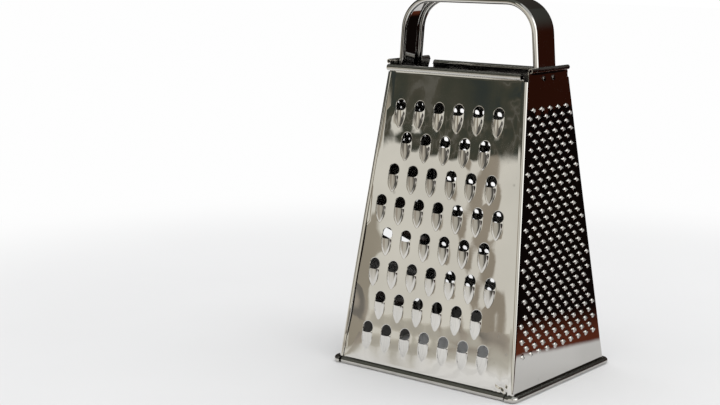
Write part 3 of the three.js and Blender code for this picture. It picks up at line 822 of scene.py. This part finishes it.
# Teeth of the four faces.
COARSE = Scoop(
    radius=3.1, lip=2.7, bulge=3.5, bulge_at=5.0, length=11.5, lift=1.15, crest=2.5,
    upper=16, lower=40, rows=13,
)
COARSE_DRAW = Draw(height=0.065, reach=1.9, radius=3.4, tail=14.0, tail_radius=0.3)
COARSE_SHIFT = -1.4
CORNER_CRUMPLE = (48.0, 4.4, 2.9, 0.46)
MEDIUM = Scoop(
    radius=1.45, lip=1.3, bulge=1.7, bulge_at=0.8, length=4.6, lift=0.9, crest=1.05,
    upper=7, lower=12, rows=4, roll=0.25, guard=0.15,
)
FINE = Spike(radius=1.15, rim=0.8, lift=0.3, tear=0.05, sides=12, rows=3)
RASP = Spike(radius=1.65, rim=0.45, lift=1.1, tear=0.2, sides=16, rows=6, sharpness=2.4)
SLOT_TOP_MARGIN = 70.0
SLOT_BASE_MARGIN = 25.0
SLOT_PITCH = 27.5
SLOT_BESIDE = 11.0
SLOT_DROP = 0.3


def make_front():
    face = tucked_face()
    rows = dict(pitch=12.0, row_pitch=16.6, top_margin=20.7, base_margin=18.0, beside=9.4)
    places = staggered(face, **rows, shift=COARSE_SHIFT, odd=False)
    form = dict(draw=COARSE_DRAW, crown=(-0.7, 0.45), dip=0.08, crumple=CORNER_CRUMPLE)
    panel = Panel(face, Waviness(face, seed=11, swell=0.10, swell_length=70.0, teeth=places, **form))
    COARSE.add(panel, places)
    finish_tucked(panel, shift=COARSE_SHIFT, seed=21, soft=-1)
    return panel.sheet.build("front_sheet", SHEET)


def make_back():
    face = tucked_face()
    places = staggered(face, pitch=4.8, row_pitch=5.6, top_margin=16.0, base_margin=14.0, beside=5.85)
    panel = Panel(face, Waviness(face, seed=12, swell=0.10))
    MEDIUM.add(panel, places)
    finish_tucked(panel, shift=0.0, seed=31, soft=1)
    return panel.sheet.build("back_sheet", SHEET, math.pi)


def make_right():
    face = wrapped_face(WRAP_BEND)
    rows = dict(pitch=7.55, row_pitch=3.82, top_margin=18.0, base_margin=19.0, beside=2.5)
    panel = Panel(face, Waviness(face, seed=13, swell=0.06))
    RASP.add(panel, staggered(face, **rows, shift=0.25), seed=41)
    finish_wrapped(panel, seed=51, corner=WRAP_BEND, press=0.10, thin=0.4)
    return panel.sheet.build("right_sheet", SHEET, math.pi / 2)


def make_left():
    face = wrapped_face(SOFT_WRAP_BEND)
    panel = Panel(face, Waviness(face, seed=14, swell=0.08))
    v = face.slope(BODY_HEIGHT) - SLOT_TOP_MARGIN
    while v >= SLOT_BASE_MARGIN:
        half = depth_at(face.height(v)) / 2 - SLOT_BESIDE
        slot = Slot(half, opening=4.0, ramp=9.5, lift=2.2, cheek=2.4, slant=0.48)
        slot.add(panel, (0.0, v - SLOT_DROP))
        v -= SLOT_PITCH
    places = staggered(face, pitch=4.8, row_pitch=3.0, top_margin=18.0, base_margin=113.0, beside=1.4)
    FINE.add(panel, places, seed=43)
    finish_wrapped(panel, seed=61, corner=SOFT_WRAP_BEND, press=0.02, thin=0.95, settle=0.66)
    return panel.sheet.build("left_sheet", SHEET, -math.pi / 2)


def bridge_stations():
    """Places and outward angles of the strap's outer face, from one leg's foot to the other's."""
    centre_z = HANDLE_TOP - HANDLE_BEND
    tangent_z = centre_z + HANDLE_BEND * math.sin(SIDE_LEAN)
    centre_x = half_room(tangent_z) - HANDLE_BEND * math.cos(SIDE_LEAN)
    leg = np.linspace(STRAP_END, tangent_z, HANDLE_LEG_STEPS)[:-1]
    half = [(half_room(z), z, SIDE_LEAN) for z in leg]
    for angle in np.linspace(SIDE_LEAN, math.pi / 2, HANDLE_BEND_STEPS + 1):
        x = centre_x + HANDLE_BEND * math.cos(angle)
        half.append((x, centre_z + HANDLE_BEND * math.sin(angle), angle))
    bar = np.linspace(centre_x, -centre_x, HANDLE_BAR_STEPS)[1:-1]
    bar = [(x, HANDLE_TOP, math.pi / 2) for x in bar]
    return half + bar + [(-x, z, math.pi - angle) for x, z, angle in reversed(half)]


def make_handle():
    centre = STRAP_WIDTH / 2 - STRAP_ROLL
    turns = np.radians(np.linspace(0.0, STRAP_ROLL_TURN, STRAP_ROLL_STEPS + 1))
    roll = [(centre + STRAP_ROLL * math.sin(t), STRAP_ROLL - STRAP_ROLL * math.cos(t)) for t in turns]
    web = [(across, 0.0) for across in np.linspace(-centre, centre, STRAP_WEB_STEPS)[1:-1]]
    section = np.array([(-a, d) for a, d in reversed(roll)] + web + roll)
    sheet = Sheet()
    rows = []
    for x, z, angle in bridge_stations():
        depth = section[:, 1]
        across = section[:, 0] - HANDLE_TWIST * smooth((TWIST_FROM - x) / TWIST_LENGTH)
        places = np.stack([x - depth * math.cos(angle), across, z - depth * math.sin(angle)], axis=1)
        rows.append(sheet.points(places))
    for near, far in zip(rows, rows[1:]):
        for k in range(len(section) - 1):
            sheet.faces.append((near[k], near[k + 1], far[k + 1], far[k]))
    return sheet.build("handle_strap", STRAP_SHEET)


def make_rivet(name, hand, y):
    """A turned rivet: a low domed head outside the panel, and a flat set head inside the strap."""
    edge = FIT + RIVET_HEAD_EDGE
    crown = RIVET_HEAD_HEIGHT - RIVET_HEAD_EDGE
    rises = np.linspace(0.0, math.pi / 2, RIVET_DOME_STEPS + 1)[:-1]
    profile = [
        (RIVET_HEAD - RIVET_HEAD_EDGE, -RIVET_GRIP - RIVET_HEAD_HEIGHT),
        (RIVET_HEAD, -RIVET_GRIP - RIVET_HEAD_EDGE),
        (RIVET_HEAD, -RIVET_GRIP),
        (RIVET_SHANK, -RIVET_GRIP),
        (RIVET_SHANK, FIT),
        (RIVET_HEAD, FIT),
        *[(RIVET_HEAD * math.cos(t), edge + crown * math.sin(t)) for t in rises],
    ]
    angles = np.arange(RIVET_SIDES) * 2 * math.pi / RIVET_SIDES
    places = [(r * math.cos(a), r * math.sin(a), h) for r, h in profile for a in angles]
    places += [(0.0, 0.0, profile[0][1]), (0.0, 0.0, edge + crown)]
    low, top = len(places) - 2, len(places) - 1
    last = RIVET_SIDES * (len(profile) - 1)
    faces = []
    for i in range(RIVET_SIDES):
        j = (i + 1) % RIVET_SIDES
        faces.append((low, j, i))
        faces.append((last + i, last + j, top))
        for k in range(len(profile) - 1):
            a, b = k * RIVET_SIDES, (k + 1) * RIVET_SIDES
            faces.append((a + i, a + j, b + j, b + i))
    lean = hand * (math.pi / 2 - SIDE_LEAN)
    at = Matrix.Translation((hand * width_at(RIVET_HEIGHT) / 2, y, RIVET_HEIGHT))
    at = at @ Matrix.Rotation(lean, 4, "Y")
    return build_object(name, [at @ Vector(p) for p in places], faces)


# Materials.
class Nodes:
    """A node tree, with short ways to add nodes and to join them."""

    def __init__(self, tree):
        self.tree = tree

    def add(self, kind, **values):
        made = self.tree.nodes.new(kind)
        for key, value in values.items():
            setattr(made, key, value)
        return made

    def feed(self, socket, source):
        """Joins a socket to another node's, or sets it to a number or a colour."""
        if isinstance(source, (int, float)):
            socket.default_value = source
        elif isinstance(source, tuple):
            socket.default_value = (*source, 1.0)
        else:
            self.tree.links.new(source, socket)

    def axes(self, vector):
        made = self.add("ShaderNodeSeparateXYZ")
        self.feed(made.inputs[0], vector)
        return made.outputs

    def noise(self, coords, scale, detail=2.0, rough=0.5):
        made = self.add("ShaderNodeTexNoise")
        for name, value in (("Scale", scale), ("Detail", detail), ("Roughness", rough)):
            made.inputs[name].default_value = value
        self.feed(made.inputs["Vector"], coords)
        return made.outputs["Fac"]

    def ramp(self, source, stops, interpolation="EASE"):
        made = self.add("ShaderNodeValToRGB")
        ramp = made.color_ramp
        ramp.interpolation = interpolation
        while len(ramp.elements) < len(stops):
            ramp.elements.new(0.5)
        for element, (position, colour) in zip(ramp.elements, stops):
            element.position = position
            element.color = (*colour, 1.0)
        self.feed(made.inputs["Fac"], source)
        return made.outputs["Color"]

    def span(self, source, low, high, to_low=0.0, to_high=1.0, steps="SMOOTHSTEP"):
        made = self.add("ShaderNodeMapRange", interpolation_type=steps)
        for name, value in zip(("From Min", "From Max", "To Min", "To Max"), (low, high, to_low, to_high)):
            made.inputs[name].default_value = value
        self.feed(made.inputs["Value"], source)
        return made.outputs["Result"]

    def table(self, source, low, high, stops):
        """A colour from a table of places between low and high."""
        share = self.span(source, low, high, steps="LINEAR")
        return self.ramp(share, [((at - low) / (high - low), colour) for at, colour in stops], "LINEAR")

    def fall(self, source, low, high):
        return self.span(source, low, high, 1.0, 0.0)

    def band(self, source, low, full, still, high):
        """1 between full and still, and 0 below low and above high."""
        return self.product(self.span(source, low, full), self.fall(source, still, high))

    def math(self, operation, *sources):
        made = self.add("ShaderNodeMath", operation=operation)
        for socket, source in zip(made.inputs, sources):
            self.feed(socket, source)
        return made.outputs["Value"]

    def product(self, *sources):
        return self.math("MULTIPLY", *sources)

    def azimuth(self, x, y):
        """Degrees from -Y towards -X."""
        return self.math("DEGREES", self.math("ARCTAN2", self.product(x, -1.0), self.product(y, -1.0)))

    def mix(self, factor, first, second):
        made = self.add("ShaderNodeMix", data_type="RGBA")
        for k, source in ((0, factor), (6, first), (7, second)):
            self.feed(made.inputs[k], source)
        return made.outputs[2]


def new_material(name):
    made = bpy.data.materials.new(name)
    made.use_nodes = True
    nodes = Nodes(made.node_tree)
    coords = nodes.add("ShaderNodeTexCoord").outputs["Object"]
    return made, nodes, made.node_tree.nodes["Principled BSDF"], coords


STAIN_SHADE = 0.82
STAIN_ROUGHNESS = 0.12
DRAWN_SHARE = 0.35
DRAWN_STRETCH = (14.0, 14.0, 1.2)
GRAIN_DEPTH = 0.0002


def steel(name, dark, light, polish, haze, grain):
    """Polished stainless: a faint cloudiness of colour, smudges in the gloss, drawn grain and dried drops."""
    made, nodes, shader, coords = new_material(name)
    shader.inputs["Metallic"].default_value = 1.0
    clouds = nodes.noise(coords, scale=28.0, detail=4.0)
    colour = nodes.ramp(clouds, [(0.3, dark), (0.7, light)])
    drops = nodes.add("ShaderNodeTexVoronoi")
    drops.inputs["Scale"].default_value = 105.0
    nodes.feed(drops.inputs["Vector"], coords)
    ring = nodes.fall(drops.outputs["Distance"], 0.06, 0.14)
    where = nodes.span(nodes.noise(coords, scale=22.0, detail=1.0), 0.6, 0.68)
    spots = nodes.product(ring, where)
    stained = nodes.mix(spots, colour, tuple(STAIN_SHADE * c for c in dark))
    nodes.feed(shader.inputs["Base Color"], stained)
    smears = nodes.noise(coords, scale=55.0, detail=5.0, rough=0.6)
    smudge = nodes.span(smears, 0.42, 0.75, polish, haze)
    nodes.feed(shader.inputs["Roughness"], nodes.math("MULTIPLY_ADD", spots, STAIN_ROUGHNESS, smudge))
    mapping = nodes.add("ShaderNodeMapping")
    mapping.inputs["Scale"].default_value = DRAWN_STRETCH
    nodes.feed(mapping.inputs["Vector"], coords)
    drawn = nodes.noise(mapping.outputs["Vector"], scale=30.0, detail=3.0, rough=0.6)
    peel = nodes.noise(coords, scale=170.0)
    bump = nodes.add("ShaderNodeBump")
    bump.inputs["Strength"].default_value = grain
    bump.inputs["Distance"].default_value = GRAIN_DEPTH
    nodes.feed(bump.inputs["Height"], nodes.math("MULTIPLY_ADD", drawn, DRAWN_SHARE, peel))
    nodes.feed(shader.inputs["Normal"], bump.outputs["Normal"])
    return made


# Stage: what the steel mirrors, by azimuth in degrees from -Y towards -X. FACING is a closer look at a part
# of WALLS, and EDGE is the height at which the ceiling starts there, in degrees.
WALLS = [
    (-180, (0.031, 0.008, 0.004)),
    (-124, (0.031, 0.0075, 0.004)),
    (-115, (2.1, 2.08, 2.0)),
    (-80, (2.1, 2.08, 2.0)),
    (-75, (1.1, 1.06, 0.97)),
    (-46, (1.1, 1.06, 0.97)),
    (-42, (0.25, 0.235, 0.21)),
    (-36, (0.25, 0.235, 0.21)),
    (-31, (0.918, 0.89, 0.807)),
    (27, (0.954, 0.917, 0.807)),
    (53, (0.9, 0.881, 0.816)),
    (57, (0.855, 0.845, 0.79)),
    (61, (0.03, 0.03, 0.028)),
    (150, (0.04, 0.035, 0.03)),
]
FACING = [
    (22, (0.954, 0.917, 0.807)),
    (26.4, (0.954, 0.908, 0.782)),
    (27.2, (0.414, 0.36, 0.285)),
    (33.2, (0.432, 0.374, 0.297)),
    (33.7, (0.955, 0.915, 0.82)),
    (39.2, (0.965, 0.935, 0.84)),
    (40.1, (0.468, 0.418, 0.332)),
    (50.0, (0.432, 0.383, 0.306)),
    (52.0, (0.9, 0.881, 0.816)),
    (58, (0.9, 0.881, 0.816)),
]
EDGE = [(20, 6.5), (31, 7.2), (33, 6.6), (34, 6.1), (37, 6.1), (38.6, 6.7), (39.6, 8.3), (44, 8.6), (58, 6.0)]
CEILING_BLUE = (0.048, 0.057, 0.051)
CEILING_DARK = (0.07, 0.073, 0.054)
CEILING_SOFT = (0.098, 0.092, 0.068)
CEILING_PALE = (0.164, 0.157, 0.131)
CEILING_HIGH = (0.123, 0.126, 0.108)
CEILING_RIGHT = (0.055, 0.055, 0.048)
CEILING_TONES = [
    (0.32, CEILING_BLUE),
    (0.46, CEILING_DARK),
    (0.56, CEILING_SOFT),
    (0.585, CEILING_PALE),
    (0.61, CEILING_SOFT),
    (0.72, CEILING_DARK),
]
AHEAD = (20.0, 60.0)
FACING_END = (17.0, 18.0)
CEILING_END = (15.0, 18.0)
EDGE_SOFT = 0.3
RIGHT_FROM = (-124.0, -118.0)
RIGHT_CLIMB = (3.0, 30.0)
HIGH_CLIMB = (36.0, 52.0)

# Floor, seen by glossy rays, by distance in metres. Its pale sheet ends on one side, where dark wood follows.
FLOOR_PALE = (0.76, 0.762, 0.766)
FLOOR_GREY = (0.72, 0.71, 0.70)
FLOOR_AHEAD = [
    (0.10, (1.0, 0.99, 0.97)),
    (0.30, (0.95, 0.93, 0.89)),
    (0.37, (0.873, 0.845, 0.782)),
    (0.50, (0.666, 0.632, 0.552)),
    (0.70, (0.594, 0.561, 0.484)),
    (1.20, (0.612, 0.574, 0.493)),
    (2.00, (0.684, 0.641, 0.544)),
    (3.90, (0.9, 0.854, 0.739)),
]
FLOOR_SHADE = (0.22, 0.205, 0.18)
FLOOR_DARK = (0.10, 0.094, 0.084)
FLOOR_LANE = (0.47, 0.415, 0.345)
FLOOR_FAR = (0.24, 0.22, 0.19)
FLOOR_REACH = 4.0
FLOOR_DROP = 0.00005
SHEET_SIDE = (0.90, 0.43)
SHEET_GREY = (0.0, 0.06)
SHEET_END = (0.116, 0.130)
WOOD_NEAR = (0.12, 0.03, 0.015)
WOOD_FAR = (0.005, 0.003, 0.0025)
WOOD_FADE = (0.13, 0.23)
STREAKS_END = (55.0, 70.0)
STREAKS_SHARE = 0.12

# Stretches of the floor ahead: the colour, the azimuths of both edges, and where it sets in.
STRETCHES = [
    (FLOOR_LANE, (24.5, 26.0, 32.4, 33.6), (0.6, 1.6)),
    (FLOOR_LANE, (39.0, 40.4, 49.5, 51.5), (0.3, 0.6)),
    (FLOOR_FAR, (-60.0, -40.0, 29.0, 33.0), (0.9, 1.9)),
    (FLOOR_FAR, (40.0, 43.0, 75.0, 95.0), (0.9, 1.9)),
    (FLOOR_DARK, (-30.0, -10.0, 16.0, 27.0), (0.26, 0.46)),
]

# The floor as the camera sees it: mottled paper that pales to white.
MOTTLE = 0.015
PAPER_FADE = (0.2, 0.5)
PALING = (0.2, 0.6)
PALE_TONES = [(0.0, (0.89, 0.892, 0.895)), (1.0, (0.99, 0.99, 0.99))]


def make_world():
    """White to the camera. The steel mirrors walls, a ceiling ahead, gloom on the right and a dim top."""
    world = bpy.data.worlds.new("studio")
    bpy.context.scene.world = world
    world.use_nodes = True
    world.node_tree.nodes.clear()
    nodes = Nodes(world.node_tree)
    view = nodes.add("ShaderNodeTexCoord").outputs["Generated"]
    x, y, z = nodes.axes(view)
    azimuth = nodes.azimuth(x, y)
    climb = nodes.math("DEGREES", nodes.math("ARCSINE", z))
    walls = nodes.table(azimuth, -180.0, 180.0, WALLS)
    facing = nodes.table(azimuth, *AHEAD, FACING)
    aside = nodes.math("ABSOLUTE", nodes.math("SUBTRACT", azimuth, sum(AHEAD) / 2))
    low = nodes.mix(nodes.fall(aside, *FACING_END), walls, facing)
    shade = nodes.ramp(nodes.noise(view, scale=38.0, detail=1.0, rough=0.4), CEILING_TONES)
    edge = nodes.table(azimuth, *AHEAD, [(at, (height,) * 3) for at, height in EDGE])
    above = nodes.math("SUBTRACT", climb, edge)
    over = nodes.span(above, -EDGE_SOFT, EDGE_SOFT)
    middle = nodes.mix(nodes.product(over, nodes.fall(aside, *CEILING_END)), low, shade)
    gloom = nodes.product(nodes.span(climb, *RIGHT_CLIMB), nodes.fall(azimuth, *RIGHT_FROM))
    middle = nodes.mix(gloom, middle, CEILING_RIGHT)
    whole = nodes.mix(nodes.span(climb, *HIGH_CLIMB), middle, CEILING_HIGH)
    glossy = nodes.add("ShaderNodeLightPath").outputs["Is Glossy Ray"]
    seen = nodes.add("ShaderNodeBackground")
    nodes.feed(seen.inputs["Color"], nodes.mix(glossy, (1.0, 1.0, 1.0), whole))
    nodes.feed(nodes.add("ShaderNodeOutputWorld").inputs["Surface"], seen.outputs["Background"])


def make_floor():
    """A pale sheet on a dark worktop. Only the steel sees where the sheet ends."""
    bpy.ops.mesh.primitive_plane_add(size=2 * FLOOR_REACH, location=(0.0, 0.0, -FLOOR_DROP))
    floor = bpy.context.object
    floor.name = "floor"
    made, nodes, shader, coords = new_material("pale_sheet")
    shader.inputs["Roughness"].default_value = 0.9
    shader.inputs["Specular IOR Level"].default_value = 0.0
    x, y, _ = nodes.axes(coords)
    aside = nodes.math("ADD", nodes.product(x, SHEET_SIDE[0]), nodes.product(y, SHEET_SIDE[1]))
    wood = nodes.mix(nodes.span(aside, *WOOD_FADE), WOOD_NEAR, WOOD_FAR)
    radius = nodes.math("SQRT", nodes.math("MULTIPLY_ADD", x, x, nodes.product(y, y)))
    azimuth = nodes.azimuth(x, y)
    ahead = nodes.table(radius, 0.0, FLOOR_REACH, FLOOR_AHEAD)
    heading = nodes.add("ShaderNodeVectorMath", operation="NORMALIZE")
    nodes.feed(heading.inputs[0], coords)
    rays = nodes.noise(heading.outputs["Vector"], scale=16.0, rough=0.6)
    streaks = nodes.span(rays, 0.4, 0.62, 0.0, STREAKS_SHARE)
    ahead = nodes.mix(nodes.product(streaks, nodes.fall(azimuth, *STREAKS_END)), ahead, FLOOR_SHADE)
    for colour, edges, start in STRETCHES:
        stretch = nodes.product(nodes.band(azimuth, *edges), nodes.span(radius, *start))
        ahead = nodes.mix(stretch, ahead, colour)
    grey = nodes.mix(nodes.span(aside, *SHEET_GREY), ahead, FLOOR_GREY)
    mirrored = nodes.mix(nodes.span(aside, *SHEET_END), grey, wood)
    mottled = [(0.3, FLOOR_PALE), (0.7, tuple(c + MOTTLE for c in FLOOR_PALE))]
    paper = nodes.ramp(nodes.noise(coords, scale=6.0, detail=3.0), mottled)
    path = nodes.add("ShaderNodeLightPath")
    nodes.feed(shader.inputs["Base Color"], nodes.mix(path.outputs["Is Glossy Ray"], paper, mirrored))
    white = nodes.product(nodes.span(radius, *PAPER_FADE), path.outputs["Is Camera Ray"])
    glow = nodes.add("ShaderNodeEmission")
    nodes.feed(glow.inputs["Color"], nodes.ramp(nodes.span(radius, *PALING), PALE_TONES))
    blend = nodes.add("ShaderNodeMixShader")
    for socket, source in zip(blend.inputs, (white, shader.outputs[0], glow.outputs[0])):
        nodes.feed(socket, source)
    nodes.feed(made.node_tree.nodes["Material Output"].inputs["Surface"], blend.outputs[0])
    floor.data.materials.append(made)
    floor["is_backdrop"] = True


def make_lamp():
    lamp = bpy.data.lights.new("soft_lamp", "AREA")
    lamp.shape = "RECTANGLE"
    lamp.size = 2.0
    lamp.size_y = 1.6
    lamp.energy = 5.0
    made = add_object("soft_lamp", lamp)
    made.location = (0.7, 0.1, 1.1)
    target = Vector((0.0, 0.0, 0.05))
    made.rotation_euler = (target - made.location).to_track_quat("-Z", "Y").to_euler()


# Camera, fitted to the photograph: heading and pitch in degrees, place in metres.
CAMERA_AZIMUTH = 38.75
CAMERA_ELEVATION = 10.34
CAMERA_ROLL = 0.41
CAMERA_LENS = 71.84
CAMERA_PLACE = (0.41233, -0.60783, 0.21863)


def make_camera():
    data = bpy.data.cameras.new("camera")
    data.lens = CAMERA_LENS
    data.sensor_width = 36.0
    place = Matrix.Translation(CAMERA_PLACE)
    for angle, axis in ((CAMERA_AZIMUTH, "Z"), (90.0 - CAMERA_ELEVATION, "X"), (CAMERA_ROLL, "Z")):
        place = place @ Matrix.Rotation(math.radians(angle), 4, axis)
    camera = add_object("camera", data)
    camera.matrix_world = place
    bpy.context.scene.camera = camera


# Each steel: its darker and lighter colour, its least and most roughness, and its grain.
PANEL_STEEL = steel("panel_steel", (0.54, 0.535, 0.52), (0.60, 0.595, 0.58), 0.012, 0.05, 0.015)
# The inner steel is far darker than the outer: its colour is painted shade for the inside of the grater and
# its holes.
INNER_SHADE_STEEL = steel("inner_steel_painted_shade", (0.13, 0.128, 0.124), (0.18, 0.177, 0.172), 0.18, 0.30, 0.04)
RIM_STEEL = steel("rim_steel", (0.46, 0.455, 0.44), (0.52, 0.515, 0.50), 0.13, 0.22, 0.012)
HANDLE_STEEL = steel("handle_steel", (0.54, 0.535, 0.525), (0.60, 0.595, 0.585), 0.015, 0.06, 0.02)
# The rivet steel is far darker than steel: its colour is painted shade, so that the rivet heads show as dark
# marks.
RIVET_SHADE_STEEL = steel("rivet_steel", (0.15, 0.14, 0.13), (0.20, 0.19, 0.18), 0.12, 0.20, 0.012)


def dress(piece, node, materials):
    for material in materials:
        piece.data.materials.append(material)
    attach(piece, "root")
    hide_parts(node)


PANEL_STEELS = [PANEL_STEEL, INNER_SHADE_STEEL, RIM_STEEL]
dress(make_front(), "front_panel", PANEL_STEELS)
dress(make_right(), "right_panel", PANEL_STEELS)
dress(make_back(), "back_panel", PANEL_STEELS)
dress(make_left(), "left_panel", PANEL_STEELS)
dress(make_handle(), "handle", [HANDLE_STEEL] * 3)
for side, hand in (("right", 1), ("left", -1)):
    for end, y in (("front", -RIVET_OFFSET), ("back", RIVET_OFFSET)):
        rivet = make_rivet(f"rivet_{side}_{end}", hand, y)
        dress(rivet, f"handle_rivet_{side}_{end}", [RIVET_SHADE_STEEL])

make_world()
make_floor()
make_lamp()
make_camera()
bpy.context.scene.view_settings.view_transform = "Standard"

boxes = {"cad": CAD_BOX, "visual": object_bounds()}
{name: [list(corner) for corner in box] for name, box in boxes.items()}
